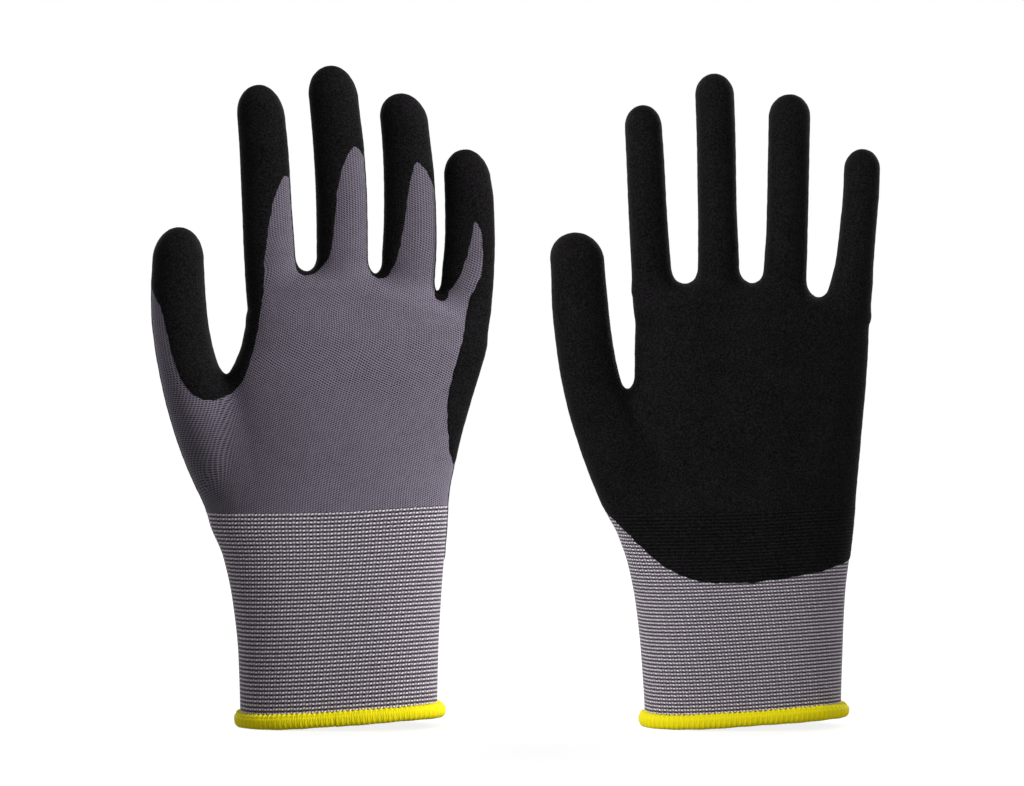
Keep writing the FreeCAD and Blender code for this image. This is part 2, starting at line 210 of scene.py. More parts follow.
def smooth_curve(points, column):
    """A smooth function through (height, value) points that doesn't overshoot them."""
    z = np.array([row[0] for row in points], float)
    v = np.array([row[column] for row in points], float)
    rise = np.diff(v) / np.diff(z)
    slope = np.zeros(len(z))
    product = rise[1:] * rise[:-1]
    slope[1:-1] = np.where(product > 0, 2 * product / (rise[1:] + rise[:-1] + 1e-12), 0.0)

    def value(q):
        q = np.clip(q, z[0], z[-1])
        i = np.clip(np.searchsorted(z, q) - 1, 0, len(z) - 2)
        step = z[i + 1] - z[i]
        t = (q - z[i]) / step
        return (v[i] * (1 + 2 * t) * (1 - t) ** 2 + slope[i] * step * t * (1 - t) ** 2
                + v[i + 1] * t * t * (3 - 2 * t) + slope[i + 1] * step * t * t * (t - 1))

    return value


def smooth_step(value, low, high):
    t = np.clip((value - low) / (high - low), 0.0, 1.0)
    return t * t * (3 - 2 * t)


def unit(vectors):
    """The same directions with a length of 1."""
    return vectors / np.maximum(np.linalg.norm(vectors, axis=1, keepdims=True), 1e-9)


class Tube:
    """A rounded tube about a nearly upright line, closed by a dome at each end."""

    def __init__(self, rows, top, dome, power, bottom, shift=0.0):
        self.middle, self.width, self.depth = [smooth_curve(rows, k) for k in (1, 2, 3)]
        self.top, self.dome, self.bottom = top, dome, bottom
        self.power, self.shift = power, shift

    def across(self, x, p, z):
        """Where a point is across the tube, in half widths and half depths."""
        return (x - self.middle(z)) / self.width(z), (p - self.shift) / self.depth(z)

    def reach(self, x, p, z):
        """How far a point is outside the tube, nearly exact close to it, and which way is out."""
        u, w = self.across(x, p, z)
        n = self.power
        rho = np.maximum((np.abs(u) ** n + np.abs(w) ** n) ** (1 / n), 1e-3)
        out_x = np.sign(u) * (np.abs(u) / rho) ** (n - 1) / self.width(z)
        out_p = np.sign(w) * (np.abs(w) / rho) ** (n - 1) / self.depth(z)
        top = self.top(x) if callable(self.top) else self.top
        cap = np.maximum((z - (top - self.dome)) / self.dome, 0.0)
        cap = cap - np.maximum((self.bottom + self.dome - z) / self.dome, 0.0)
        whole = np.sqrt(rho ** 2 + cap ** 2)
        out = np.stack([out_x * rho / whole, out_p * rho / whole, cap / self.dome / whole])
        size = np.maximum(np.sqrt(np.sum(out ** 2, axis=0)), 0.01)
        return np.maximum((whole - 1) / size, -12.0), out / size

    def turn(self, x, p, z):
        """Angle round the tube, 0 in the middle of the back and positive towards +x."""
        u, w = self.across(x, p, z)
        half = self.power / 2
        on_side = smooth_step(np.abs(u), 0.80, 1.08)
        level = np.maximum(1 - np.minimum(np.abs(u), 1.0) ** self.power, 0.0) ** (1 / self.power)
        w = np.sign(w) * (level * (1 - on_side) + np.abs(w) * on_side)
        return np.sign(u) * np.arctan2(np.abs(u) ** half, -np.sign(w) * np.abs(w) ** half)


def soft_union(first, second, blend):
    """Two tubes as one, rounded where they meet at an angle and not where they run together."""
    (a, out_a), (b, out_b) = first, second
    apart = np.sqrt(np.clip(1 - np.sum(out_a * out_b, axis=0), 0.0, 1.0))
    blend = blend * (0.12 + 0.88 * apart)
    h = np.clip(0.5 + 0.5 * (b - a) / blend, 0.0, 1.0)
    out = out_b * (1 - h) + out_a * h
    out = out / np.maximum(np.sqrt(np.sum(out ** 2, axis=0)), 0.01)
    return b * (1 - h) + a * h - blend * h * (1 - h), out


class Glove:
    """The shape of one glove and what its fabric does on it."""

    def __init__(self, data):
        self.name, self.palm = data["name"], data["palm"]
        self.elastic_row, self.thumb_blend = data["elastic_row"], data["thumb_blend"]
        self.crotch_rims = data["crotch_rims"]
        low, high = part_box(self.name + "_cuff_hem")
        self.hem_x = (low.x + high.x) / 2 / MM + GLOVE_OFFSET
        top_line = smooth_curve(data["hand_top"], 1)
        self.hand = Tube(data["hand"], top_line, HAND_DOME, HAND_ROUNDNESS, -100.0)
        self.tubes = {"hand": self.hand}
        for key in FINGERS + ("thumb",):
            top, dome, rows = data[key]
            shift = THUMB_FORWARD if key == "thumb" else 0.0
            self.tubes[key] = Tube(rows, top, dome, DIGIT_ROUNDNESS, rows[0][0], shift)
        self.hinges = {}  # a hinge is x, height and which way is up from it
        for joint in frame["joints"]:
            if joint["type"] == "hinge" and joint["name"].startswith(self.name):
                key = joint["name"][len(self.name) + 1:-5]
                lean = math.atan(joint["axis"][2] / joint["axis"][0])
                self.hinges[key] = (joint["pos_m"][0] / MM - self.hem_x, joint["pos_m"][2] / MM,
                                    (-math.sin(lean), math.cos(lean)))

    def place(self, points):
        """Glove space to the row frame, with the hem and the cuff drawn up towards +x."""
        x, p, z = points.T
        steep = HEM_RISE + HEM_TWIST * np.minimum(np.abs(p) / 20.0, 1.0)
        rise = (x * steep + 41.5 * HEM_RISE) * (1 - smooth_step(z, 0.0, 135.0))
        sag = np.exp(-((z - CUFF_TOP) / 26.0) ** 2) * (1 - smooth_step(x, -10.0, 46.0))
        height = np.maximum(z + rise - CUFF_SAG * sag, 0.0)
        return np.stack([x + self.hem_x, p * self.palm, height], axis=1) * MM

    def above(self, key, co):
        """How far points are above a hinge, square to its axis."""
        x, z, up = self.hinges[key]
        return (co[:, 0] - x) * up[0] + (co[:, 2] - z) * up[1]

    def ends(self, x, z, up, low, high):
        """Where a bend starts and ends in the row frame, at two distances up from a place."""
        return [((x + self.hem_x + up[0] * far) * MM, 0.0, (z + up[1] * far) * MM)
                for far in (low, high)]

    def distance(self, x, p, z):
        """How far a point is outside the glove's knitted surface."""
        digits = self.tubes["index"].reach(x, p, z)
        for key in FINGERS[1:]:
            digits = soft_union(digits, self.tubes[key].reach(x, p, z), 2.0)
        whole = soft_union(self.hand.reach(x, p, z), digits, 7.0)
        thumb = self.tubes["thumb"].reach(x, p, z)
        return soft_union(whole, thumb, self.thumb_blend)[0]

    def normals(self, co):
        reach = 0.2
        out = np.empty_like(co)
        for axis in range(3):
            ahead, behind = co.copy(), co.copy()
            ahead[:, axis] += reach
            behind[:, axis] -= reach
            out[:, axis] = self.distance(*ahead.T) - self.distance(*behind.T)
        return unit(out), np.linalg.norm(out, axis=1) / (2 * reach)

    def valley(self, x_low, x_high, z_low, z_high):
        """The lowest open point between two digits, on the glove's middle plane."""
        xs, zs = np.meshgrid(np.linspace(x_low, x_high, 49), np.linspace(z_low, z_high, 301),
                             indexing="ij")
        closed = self.distance(xs, np.zeros_like(xs), zs) < 0
        height = zs[0][np.argmin(closed, axis=1)]
        height = np.where(closed[:, 0] & ~closed.all(axis=1), height, z_high)
        lowest = np.argmin(height)
        return float(xs[lowest, 0]), float(height[lowest])

    def nearest(self, co):
        """Which tube each point belongs to: 0 hand, 1 to 4 the fingers, 5 the thumb."""
        names = ("hand",) + FINGERS + ("thumb",)
        distances = np.array([self.tubes[key].reach(*co.T)[0] for key in names])
        return np.argmin(distances, axis=0)

    def finger_column(self, co):
        """Which finger a point is under, by its place across the hand."""
        away = [np.abs(co[:, 0] - self.tubes[key].middle(co[:, 2])) for key in FINGERS]
        return np.argmin(np.array(away), axis=0)


RATIOS = np.linspace(0.2, 1.2, 11)
TURNS = np.linspace(0, math.pi, 181)


def arc_table(power):
    """The way walked round half a section up to each of TURNS, for each ratio of its sides."""
    x = np.sin(TURNS) ** (2 / power)
    y = np.sign(np.cos(TURNS)) * np.abs(np.cos(TURNS)) ** (2 / power)
    steps = np.hypot(np.diff(x), np.diff(y) * RATIOS[:, None])
    return np.pad(np.cumsum(steps, axis=1), ((0, 0), (1, 0)))


WALKS = arc_table(2.3)  # a roundness near every tube's


def girth_share(tube, x, p, z):
    """How far round the tube from the middle of its back, as a share of its girth."""
    turn = tube.turn(x, p, z)
    ratio = tube.depth(z) / tube.width(z)
    row = np.clip((ratio - RATIOS[0]) / (RATIOS[1] - RATIOS[0]), 0, len(RATIOS) - 1.001)
    column = np.abs(turn) / TURNS[1]
    i, j = row.astype(int), np.clip(column.astype(int), 0, len(TURNS) - 2)
    a, b = row - i, column - j
    lower, upper = [(1 - b) * WALKS[k, j] + b * WALKS[k, j + 1] for k in (i, i + 1)]
    half = (1 - a) * WALKS[i, -1] + a * WALKS[i + 1, -1]
    return np.sign(turn) * ((1 - a) * lower + a * upper) / (2 * half)


def fabric_place(glove, co):
    """Wale and course of each point of the plain knit, as counts of stitches."""
    x, p, z = co.T
    wale = COLUMNS_HAND * girth_share(glove.hand, x, p, z)
    column = glove.finger_column(co)
    nearest = glove.nearest(co)
    for number, key in enumerate(FINGERS):
        tube = glove.tubes[key]
        root = glove.hinges[key + "_base"][1]
        home = girth_share(glove.hand, tube.middle(root), -14.0, root - 8.0)
        own = COLUMNS_FINGER * girth_share(tube, x, p, z) + COLUMNS_HAND * home
        share = smooth_step(z, root - 7, root + 9) * (column == number) * (nearest != 5)
        wale = wale * (1 - share) + own * share
    thumb = glove.tubes["thumb"]
    meets = 40.0 + 16.0 * smooth_step(z, 98.0, 140.0)  # where it joins the hand's columns
    own = COLUMNS_THUMB * girth_share(thumb, x, p, z) - meets
    gap = thumb.reach(x, p, z)[0] - glove.hand.reach(x, p, z)[0]
    share = smooth_step(-gap, -4.0, 8.0) * smooth_step(z, 82.0, 112.0)
    wale = wale * (1 - share) + own * share
    course = (z + share * 0.28 * (x + 50.0)) / COURSE
    return np.stack([wale, course], axis=1)


def back_outline(glove):
    """The outline of the bare knit on the glove's back, as a smooth closed line of (x, z)."""
    points = []

    def on_tube(key, share, height):
        tube = glove.tubes[key]
        return [tube.middle(height) + share * tube.width(height), height]

    for number, key in enumerate(FINGERS):
        root = glove.hinges[key + "_base"][1]
        reach, peak_u = TONGUES[key]
        peak = reach * (glove.tubes[key].top - root)
        right = LITTLE_RIGHT if key == "little" else TONGUE_RIGHT
        points += [on_tube(key, min(peak_u + shift, PAST_THE_SIDE), root + share * peak)
                   for share, shift in TONGUE_LEFT[key][::-1] + [(1.0, 0.0)] + right]
        if key != "little":
            a, b = glove.tubes[key], glove.tubes[FINGERS[number + 1]]
            x, z = glove.valley(a.middle(root) + 5, b.middle(root) - 5, 150, 200)
            rim = CROTCH_RIMS[glove.crotch_rims[number]]
            points += [[x + across, z + up] for across, up in rim]
    root = glove.hinges["little_base"][1]
    points += [on_tube("hand", share, root + height) for height, share in HAND_SIDE]
    points += [[75.0, 95.0], [75.0, 20.0], [-100.0, 20.0], [-100.0, 178.0], [-82.0, 178.0]]
    crotch_x, crotch_z = thumb_crotch(glove)
    first_x, first_z = CROTCH_ROUND[0]
    lean = (points[0][0] - crotch_x - first_x) / first_z
    points += [[crotch_x + x + lean * max(z, 0.0) * (x > 0), crotch_z + z]
               for x, z in reversed(CROTCH_ROUND)]
    for _ in range(3):  # round the corners off
        a = np.array(points)
        b = np.roll(a, -1, axis=0)
        points = np.stack([0.8 * a + 0.2 * b, 0.2 * a + 0.8 * b], axis=1).reshape(-1, 2)
    return points


def thumb_crotch(glove):
    """The lowest point between the thumb and the hand, seen from the front."""
    x, z, _ = glove.hinges["thumb_base"]
    return glove.valley(x + 4, x + 24, z - 22, z + 26)


def outside_outline(outline, x, z):
    """Signed distance to a closed line, positive outside it."""
    best = np.full(len(x), 1e9)
    inside = np.zeros(len(x), bool)
    for (x0, z0), (x1, z1) in zip(outline, np.roll(outline, -1, axis=0)):
        dx, dz = x1 - x0, z1 - z0
        t = np.clip(((x - x0) * dx + (z - z0) * dz) / (dx * dx + dz * dz + 1e-12), 0, 1)
        best = np.minimum(best, (x - x0 - t * dx) ** 2 + (z - z0 - t * dz) ** 2)
        inside ^= ((z0 > z) != (z1 > z)) & (x < x0 + (z - z0) / (dz or 1.0) * dx)
    return np.where(inside, -1.0, 1.0) * np.sqrt(best)


def fold_rise(co):
    """How far the palm's soft folds stand out at each point."""
    x, p, z = co.T
    rise = np.zeros(len(x))
    for x0, z0, slope, half_length, half_width, height in FOLDS:
        c, s = math.cos(math.radians(slope)), math.sin(math.radians(slope))
        along = ((x - x0) * c + (z - z0) * s) / half_length
        across = ((z - z0) * c - (x - x0) * s) / half_width
        rise += height * np.exp(-along ** 2 - across ** 2)
    return rise * smooth_step(p, 1.0, 8.0)


def ripple(x, z, size):
    """A gentle repeatable unevenness between about -1 and 1."""
    a, b = x / size, z / size
    return (np.sin(1.7 * a + 2.3 * b) + np.sin(3.1 * a - 1.9 * b + 1.3)
            + np.sin(-2.2 * a + 4.3 * b + 4.0) + np.sin(5.3 * a + 0.7 * b + 2.1)) / 3


def film_depth(glove, co):
    """How far inside the film's edge a point is, in millimetres. Negative is bare knit."""
    x, p, z = co.T
    back = outside_outline(back_outline(glove), x, z) + 0.22 * ripple(x, z, 3.0)
    palm = (z - smooth_curve(PALM_EDGE, 1)(x)) * 0.85 + 0.28 * ripple(x, z, 4.0)
    return np.minimum(np.maximum(p * 0.9 + 0.25 * ripple(z, x, 5.0), back), palm)


# ---- meshes as plain arrays
def corners(faces):
    """The point at every corner of every face, in one row."""
    return np.fromiter(chain.from_iterable(faces), int)


class Sheet:
    """A surface: points, their normals, fabric places and film depths, and faces."""

    def __init__(self, co, no, uv, film, faces):
        self.co, self.no, self.uv, self.film, self.faces = co, no, uv, film, faces

    def cut(self, value):
        """The part where value is positive, cut cleanly along its zero line."""
        keep = (value > 0).tolist()
        faces, made = [], {}
        for face in self.faces:
            ring = []
            for i, j in zip(face, face[1:] + face[:1]):
                if keep[i]:
                    ring.append(i)
                if keep[i] != keep[j]:  # a new point, shared by the edge's two faces
                    edge = (min(i, j), max(i, j))
                    ring.append(made.setdefault(edge, len(value) + len(made)))
            if len(ring) > 2:
                faces.append(tuple(ring))
        arrays = [self.co, self.no, self.uv, self.film[:, None]]
        if made:
            i, j = np.array(list(made)).T
            t = (value[i] / (value[i] - value[j]))[:, None]
            arrays = [np.vstack([a, a[i] * (1 - t) + a[j] * t]) for a in arrays]
        used = np.unique(corners(faces))
        number = {old: new for new, old in enumerate(used.tolist())}
        co, no, uv, film = [a[used] for a in arrays]
        faces = [tuple(number[i] for i in face) for face in faces]
        return Sheet(co, unit(no), uv, film[:, 0], faces)


def turned_normals(no, co, faces, share):
    """Normals turned by a share towards those of the faces round each point."""
    a, b, c, last = [co[[face[k] for face in faces]] for k in (0, 1, 2, -1)]
    each = np.repeat(np.cross(c - a, last - b), [len(face) for face in faces], axis=0)
    bent = np.zeros_like(co)
    np.add.at(bent, corners(faces), each)
    bent = unit(bent) * np.sign(np.sum(bent * no, axis=1, keepdims=True) + 1e-9)
    return unit(no * (1 - share[:, None]) + bent * share[:, None])


def surface_of(glove):
    """Quads over the glove's surface, by surface nets on a grid and then pulled onto it."""
    xs, ys, zs = [np.arange(low, high, GRID) for low, high in zip(SURFACE_LOW, SURFACE_HIGH)]
    gx, gy = np.meshgrid(xs, ys, indexing="ij")
    # one level at a time keeps the memory small
    values = np.stack([glove.distance(gx, gy, z) for z in zs], axis=-1)
    shape = tuple(size - 1 for size in values.shape)
    total = np.zeros((np.prod(shape), 3))
    count = np.zeros(np.prod(shape))
    crossings = []
    for axis in range(3):
        a, b = np.delete(values, -1, axis), np.delete(values, 0, axis)
        change = (a < 0) != (b < 0)
        where = np.argwhere(change)
        a, b = a[change], b[change]
        point = where.astype(float)
        point[:, axis] += a / (a - b)
        u, v = [k for k in range(3) if k != axis]
        valid = (where[:, u] > 0) & (where[:, v] > 0)  # the grid's floor cuts the glove
        where, point, a = where[valid], point[valid], a[valid]
        cells = []
        for du, dv in ((1, 1), (0, 1), (0, 0), (1, 0)):
            cell = where.copy()
            cell[:, u] -= du
            cell[:, v] -= dv
            index = np.ravel_multi_index(cell.T, shape)
            np.add.at(total, index, point)
            np.add.at(count, index, 1)
            cells.append(index)
        quads = np.stack(cells, axis=1)
        flip = (a > 0) if axis != 1 else (a < 0)
        quads[flip] = quads[flip][:, ::-1]
        crossings.append(quads)
    used, quads = np.unique(np.vstack(crossings), return_inverse=True)
    co = SURFACE_LOW + GRID * total[used] / count[used][:, None]
    for _ in range(3):
        no, steep = glove.normals(co)
        gap = glove.distance(*co.T) / np.maximum(steep, 0.3)
        co = co - no * np.clip(gap, -1.0, 1.0)[:, None]
    no, _ = glove.normals(co)
    fabric, film, rise = fabric_place(glove, co), film_depth(glove, co), fold_rise(co)
    faces = [tuple(quad) for quad in quads.reshape(-1, 4).tolist()]
    co = co + no * rise[:, None]
    no = turned_normals(no, co, faces, smooth_step(rise, 0.0, 0.1))
    return Sheet(co, no, fabric, film, faces)


def border_edges(faces):
    """Edges that only one face uses, in that face's order."""
    edges = dict.fromkeys(edge for face in faces for edge in zip(face, face[1:] + face[:1]))
    return [(i, j) for i, j in edges if (j, i) not in edges]


def in_scene(name, data):
    """A new object, put in the scene."""
    obj = bpy.data.objects.new(name, data)
    bpy.context.scene.collection.objects.link(obj)
    return obj


def make_object(glove, name, co, uv, faces, material, normals=None, turns=(0, 0)):
    """A Blender mesh object from points in glove space and their places on the fabric.

    Where a grid of quads closes into a ring, turns says how much those places grow in one turn.
    """
    if glove.palm < 0:
        faces = [face[::-1] for face in faces]
    mesh = bpy.data.meshes.new(name)
    mesh.from_pydata(glove.place(co).tolist(), [], faces)
    mesh.shade_smooth()
    places = uv[corners(faces)]
    for k, turn in enumerate(turns):
        if turn:  # a face over the join doesn't run back to 0
            value = places[:, k].reshape(-1, 4)
            behind = value.max(axis=1, keepdims=True) - value > turn / 2
            places[:, k] = (value + turn * behind).ravel()
    mesh.uv_layers.new(name="fabric").data.foreach_set("uv", places.ravel())
    if normals is not None:
        mesh.validate()
        world = normals * (1.0, glove.palm, 1.0)
        mesh.normals_split_custom_set_from_vertices(world.tolist())
    mesh.materials.append(material)
    return in_scene(name, mesh)


def shell(glove, name, sheet, outward, inward, material, normals=None):
    """A piece with a wall: the sheet moved outward and inward, closed round its border."""
    n = len(sheet.co)
    outer = sheet.co + sheet.no * np.reshape(outward, (-1, 1))
    inner = sheet.co - sheet.no * inward
    faces = sheet.faces + [tuple(i + n for i in reversed(f)) for f in sheet.faces]
    faces += [(j, i, i + n, j + n) for i, j in border_edges(sheet.faces)]
    normals = sheet.no if normals is None else normals
    return make_object(glove, name, np.vstack([outer, inner]), np.vstack([sheet.uv, sheet.uv]),
                       faces, material, np.vstack([normals, -sheet.no]))


def film_piece(glove, name, sheet):
    """The nitrile film over the part of a sheet that is coated."""
    coated = sheet.cut(sheet.film)
    depth = smooth_step(coated.film, -0.2, FILM_RIM_WIDTH)
    outward = FILM_LIFT + FILM_RIM + (FILM_WALL - FILM_RIM) * depth
    outward = outward + 0.05 * ripple(coated.co[:, 0], coated.co[:, 2], 2.2) * depth
    near = 1 - smooth_step(coated.film, FILM_RIM_WIDTH, FILM_RIM_WIDTH + 0.8)
    outside = coated.co + coated.no * outward[:, None]
    normals = turned_normals(coated.no, outside, coated.faces, near)
    return shell(glove, name, coated, outward, -FILM_LIFT, FILM, normals)


# ---- materials
class Nodes:
    """Short ways to write the node tree of a material or the world."""

    def __init__(self, owner):
        owner.use_nodes = True
        self.owner = owner
        self.tree = owner.node_tree
        self.tree.nodes.clear()

    def put(self, socket, value):
        if isinstance(value, bpy.types.NodeSocket):
            self.tree.links.new(value, socket)
        elif value is not None:
            socket.default_value = value

    def new(self, kind, *values, **named):
        """A node, with numbers or other nodes' outputs put on its sockets in order or by name."""
        node = self.tree.nodes.new("ShaderNode" + kind)
        for socket, value in zip(node.inputs, values):
            self.put(socket, value)
        for name, value in named.items():
            self.put(node.inputs[name.replace("_", " ")], value)
        return node

    def math(self, kind, a, b=None, c=None, clamp=False):
        node = self.new("Math", a, b, c)
        node.operation = kind
        node.use_clamp = clamp
        return node.outputs[0]

    def add(self, a, b):
        return self.math("ADD", a, b)

    def sub(self, a, b):
        return self.math("SUBTRACT", a, b)

    def mul(self, a, b):
        return self.math("MULTIPLY", a, b)

    def mad(self, a, b, c, clamp=False):
        """a times b, plus c."""
        return self.math("MULTIPLY_ADD", a, b, c, clamp)

    def cell(self, value):
        """The whole number below a value, and how far the value is past that cell's middle."""
        return self.math("FLOOR", value), self.sub(self.math("FRACT", value), 0.5)

    def ramp(self, value, low, high, out_low=0.0, out_high=1.0):
        """Smooth change from out_low to out_high as value goes from low to high."""
        node = self.new("MapRange", value, low, high, out_low, out_high)
        node.interpolation_type = "SMOOTHSTEP"
        return node.outputs[0]

    def fabric(self):
        """Wale and course of the point."""
        node = self.new("UVMap")
        node.uv_map = "fabric"
        return self.new("SeparateXYZ", node.outputs[0]).outputs[:2]

    def place(self):
        return self.new("TexCoord").outputs["Object"]

    def height(self):
        return self.new("SeparateXYZ", self.place()).outputs[2]

    def join(self, x, y):
        return self.new("CombineXYZ", x, y, 0.0).outputs[0]

    def noise(self, vector, scale, detail=2.0, rough=0.5):
        node = self.new("TexNoise", Vector=vector, Scale=scale, Detail=detail, Roughness=rough)
        return node.outputs["Fac"]

    def white(self, vector):
        return self.new("TexWhiteNoise", Vector=vector).outputs["Value"]

    def mix(self, factor, a, b):
        node = self.new("Mix")
        node.data_type = "RGBA"
        for name, value in (("Factor", factor), ("A", a), ("B", b)):
            self.put(node.inputs[name], value)
        return node.outputs["Result"]

    def bump(self, height, distance, strength):
        node = self.new("Bump", Strength=strength, Distance=distance, Height=height)
        return node.outputs["Normal"]

    def cover(self, colour, normal, **settings):
        """Ends a material with its one shader. Its settings go straight on the sockets."""
        shader = self.new("BsdfPrincipled", Base_Color=colour, Normal=normal, **settings)
        self.new("OutputMaterial", shader.outputs[0])
        return self.owner


def srgb(*levels):
    """An 8-bit display colour as the linear colour that shaders take."""
    shares = [level / 255.0 for level in levels]
    return (*[v / 12.92 if v <= 0.04045 else ((v + 0.055) / 1.055) ** 2.4 for v in shares], 1.0)


def ellipse(n, across, along, half_across, half_along, inner, outer):
    """1 within an ellipse and 0 outside it, with a soft edge between two shares of its size."""
    squares = [n.math("POWER", n.math("DIVIDE", n.math("ABSOLUTE", value), half), 2.0)
               for value, half in ((across, half_across), (along, half_along))]
    return n.ramp(n.add(*squares), inner, outer, 1.0, 0.0)


def stitch_gap_shade(n, column, course):
    """Plain knit: a short gap in each stitch, painted dark as shade, half a row lower in every
    other column.
    """
    lean = n.ramp(n.height(), 0.112, 0.160, -0.75, 0.75)
    drift = n.noise(n.join(n.mul(column, 0.05), n.mul(course, 0.05)), 1.0, 1.0)
    wale, across = n.cell(column)
    along = n.mad(drift, 1.8, n.mad(wale, 0.5, course))
    row, along = n.cell(n.mad(across, lean, along))
    chance = n.white(n.join(wale, row))
    gap = ellipse(n, across, along, 0.50, 0.38, 0.1, 1.3)
    return n.mul(gap, n.mad(chance, 0.35, 0.65)), chance


def plain_knit_material():
    """Grey-mauve nylon, with painted shade low over the thumb's root, and darker up the fingers,
    partly painted shade.
    """
    n = Nodes(bpy.data.materials.new("plain_knit"))
    column, course = n.fabric()
    gap, chance = stitch_gap_shade(n, column, course)
    cloudy = n.noise(n.place(), 55.0, 3.0)
    patch = n.noise(n.join(n.mul(column, 0.3), n.mul(course, 0.2)), 1.0)
    tone = n.mad(chance, 0.14, n.mul(cloudy, 0.16))
    tone = n.mad(patch, 0.22, n.sub(tone, 0.26))
    # painted shade in each stitch's gap
    level = n.mad(gap, -1.0, n.add(tone, 0.96), clamp=True)
    # painted shade: darker low on the hand towards the thumb's side
    thumb_root_shade = n.mul(n.ramp(n.height(), 0.100, 0.168, 1.0, 0.0),
                  n.ramp(column, -62.0, 22.0, 1.0, 0.0))
    level = n.mul(level, n.mad(thumb_root_shade, -0.50, 1.0))
    # darker up the fingers: partly painted shade
    level = n.mul(level, n.ramp(n.height(), 0.160, 0.186, 1.0, 0.72))
    return n.cover(n.mix(level, srgb(14, 8, 15), srgb(142, 133, 150)),
                   n.bump(n.sub(1.0, gap), 0.00025, 0.7), Roughness=0.85,
                   Specular_IOR_Level=0.15, Sheen_Weight=0.12, Sheen_Roughness=0.4,
                   Sheen_Tint=(0.9, 0.88, 0.92, 1.0))


def cuff_material():
    """Rib knit with white elastic laid in: a white dot on each wale, large and small by turns, with
    painted shade between the rows and in the holes.
    """
    n = Nodes(bpy.data.materials.new("cuff_rib_knit"))
    wale, row = n.fabric()
    uneven = n.noise(n.join(n.mul(wale, 0.7), n.mul(row, 0.9)), 1.0)
    wale, across = n.cell(wale)
    row, along = n.cell(n.mad(uneven, 0.26, n.sub(row, 0.13)))
    small = n.math("MODULO", wale, 2.0)
    chance = n.white(n.join(wale, row))
    tilt = n.mad(across, n.mad(chance, 0.5, -0.35), along)
    tilt = n.mad(small, -0.07, tilt)
    dot = ellipse(n, across, tilt, n.mad(small, -0.09, 0.47), 0.26, 0.25, 1.05)
    dot = n.mul(dot, n.mad(chance, -0.25, n.mad(small, -0.20, 1.0)))
    from_row = n.math("ABSOLUTE", along)
    in_row = n.ramp(from_row, 0.20, 0.42, 1.0, 0.0)
    shaded_hole = ellipse(n, across, n.sub(from_row, 0.5), 0.50, 0.28, 0.10, 1.2)
    shaded_hole = n.mul(shaded_hole, n.mad(small, -0.75, 1.0))
    body = n.mix(n.noise(n.place(), 900.0), srgb(94, 82, 97), srgb(132, 118, 135))
    # painted shade: darker bands between the rows
    body = n.mix(in_row, srgb(88, 76, 90), body)
    # painted shade: the holes darkened nearly to black
    body = n.mix(n.mul(shaded_hole, 0.97), body, srgb(16, 13, 16))
    relief = n.sub(n.mad(dot, 0.5, 0.5), n.mul(shaded_hole, 0.5))
    return n.cover(n.mix(dot, body, srgb(252, 250, 253)), n.bump(relief, 0.0004, 0.8),
                   Roughness=0.8, Specular_IOR_Level=0.15, Sheen_Weight=0.1)


def film_material():
    """Black foamed nitrile: matte, finely pored, with the knit and the cuff's rows in relief, and
    painted light and shade that follow that relief.
    """
    n = Nodes(bpy.data.materials.new("nitrile_foam"))
    column, course = n.fabric()
    gap, _ = stitch_gap_shade(n, column, course)
    grain = n.noise(n.place(), 1500.0, 3.0, 0.65)
    pores = n.new("TexVoronoi", Vector=n.place(), Scale=1700.0).outputs["Distance"]
    cloud = n.noise(n.place(), 60.0, 3.0)
    height = n.mul(course, COURSE)
    rows = n.math("SINE", n.mul(height, 2 * math.pi / LEFT["elastic_row"]))
    rows = n.mul(rows, n.ramp(height, CUFF_TOP - 1.0, CUFF_TOP + 0.6, 1.0, 0.0))
    tone = n.mad(n.ramp(grain, 0.38, 0.66), 0.7, n.mul(cloud, 0.35))
    # painted light and shade: lighter on the rows' crests, darker in the knit's gaps
    tone = n.mad(rows, 0.2, n.mad(gap, -0.12, tone), clamp=True)
    relief = n.mad(grain, 0.6, n.mul(pores, 0.4))
    relief = n.mad(gap, -0.2, n.add(rows, relief))
    return n.cover(n.mix(tone, srgb(4, 4, 4), srgb(35, 33, 35)), n.bump(relief, 0.00018, 0.9),
                   Roughness=n.mad(grain, 0.15, 0.6), Specular_IOR_Level=0.02)


def hem_material():
    """Yellow overlock yarn: a groove between two ribs, painted darker as shade, and the twist of
    its strands.
    """
    n = Nodes(bpy.data.materials.new("overlock_yarn"))
    rib, around = n.fabric()
    groove = n.ramp(n.math("ABSOLUTE", n.cell(rib)[1]), 0.30, 0.5)
    strand = n.mad(rib, 3.0, n.mul(around, 9.0))
    twist = n.math("SINE", n.mul(strand, 2 * math.pi))
    fibre = n.noise(n.place(), 1400.0, 3.0, 0.6)
    # painted shade: the yarn darker in the groove between ribs
    tone = n.mad(fibre, 0.5, n.mul(groove, 0.55))
    relief = n.sub(n.mad(twist, 0.15, fibre), n.mul(groove, 0.8))
    return n.cover(n.mix(tone, srgb(250, 235, 12), srgb(222, 206, 0)),
                   n.bump(relief, 0.0002, 0.7), Roughness=0.75, Specular_IOR_Level=0.15)


def elastic_material():
    n = Nodes(bpy.data.materials.new("elastic_yarn"))
    fibre = n.noise(n.place(), 1800.0, 3.0, 0.6)
    return n.cover(n.mix(fibre, srgb(170, 168, 172), srgb(226, 224, 226)),
                   n.bump(fibre, 0.0001, 0.6), Roughness=0.8)


KNIT = plain_knit_material()
CUFF = cuff_material()
FILM = film_material()
HEM = hem_material()
ELASTIC = elastic_material()


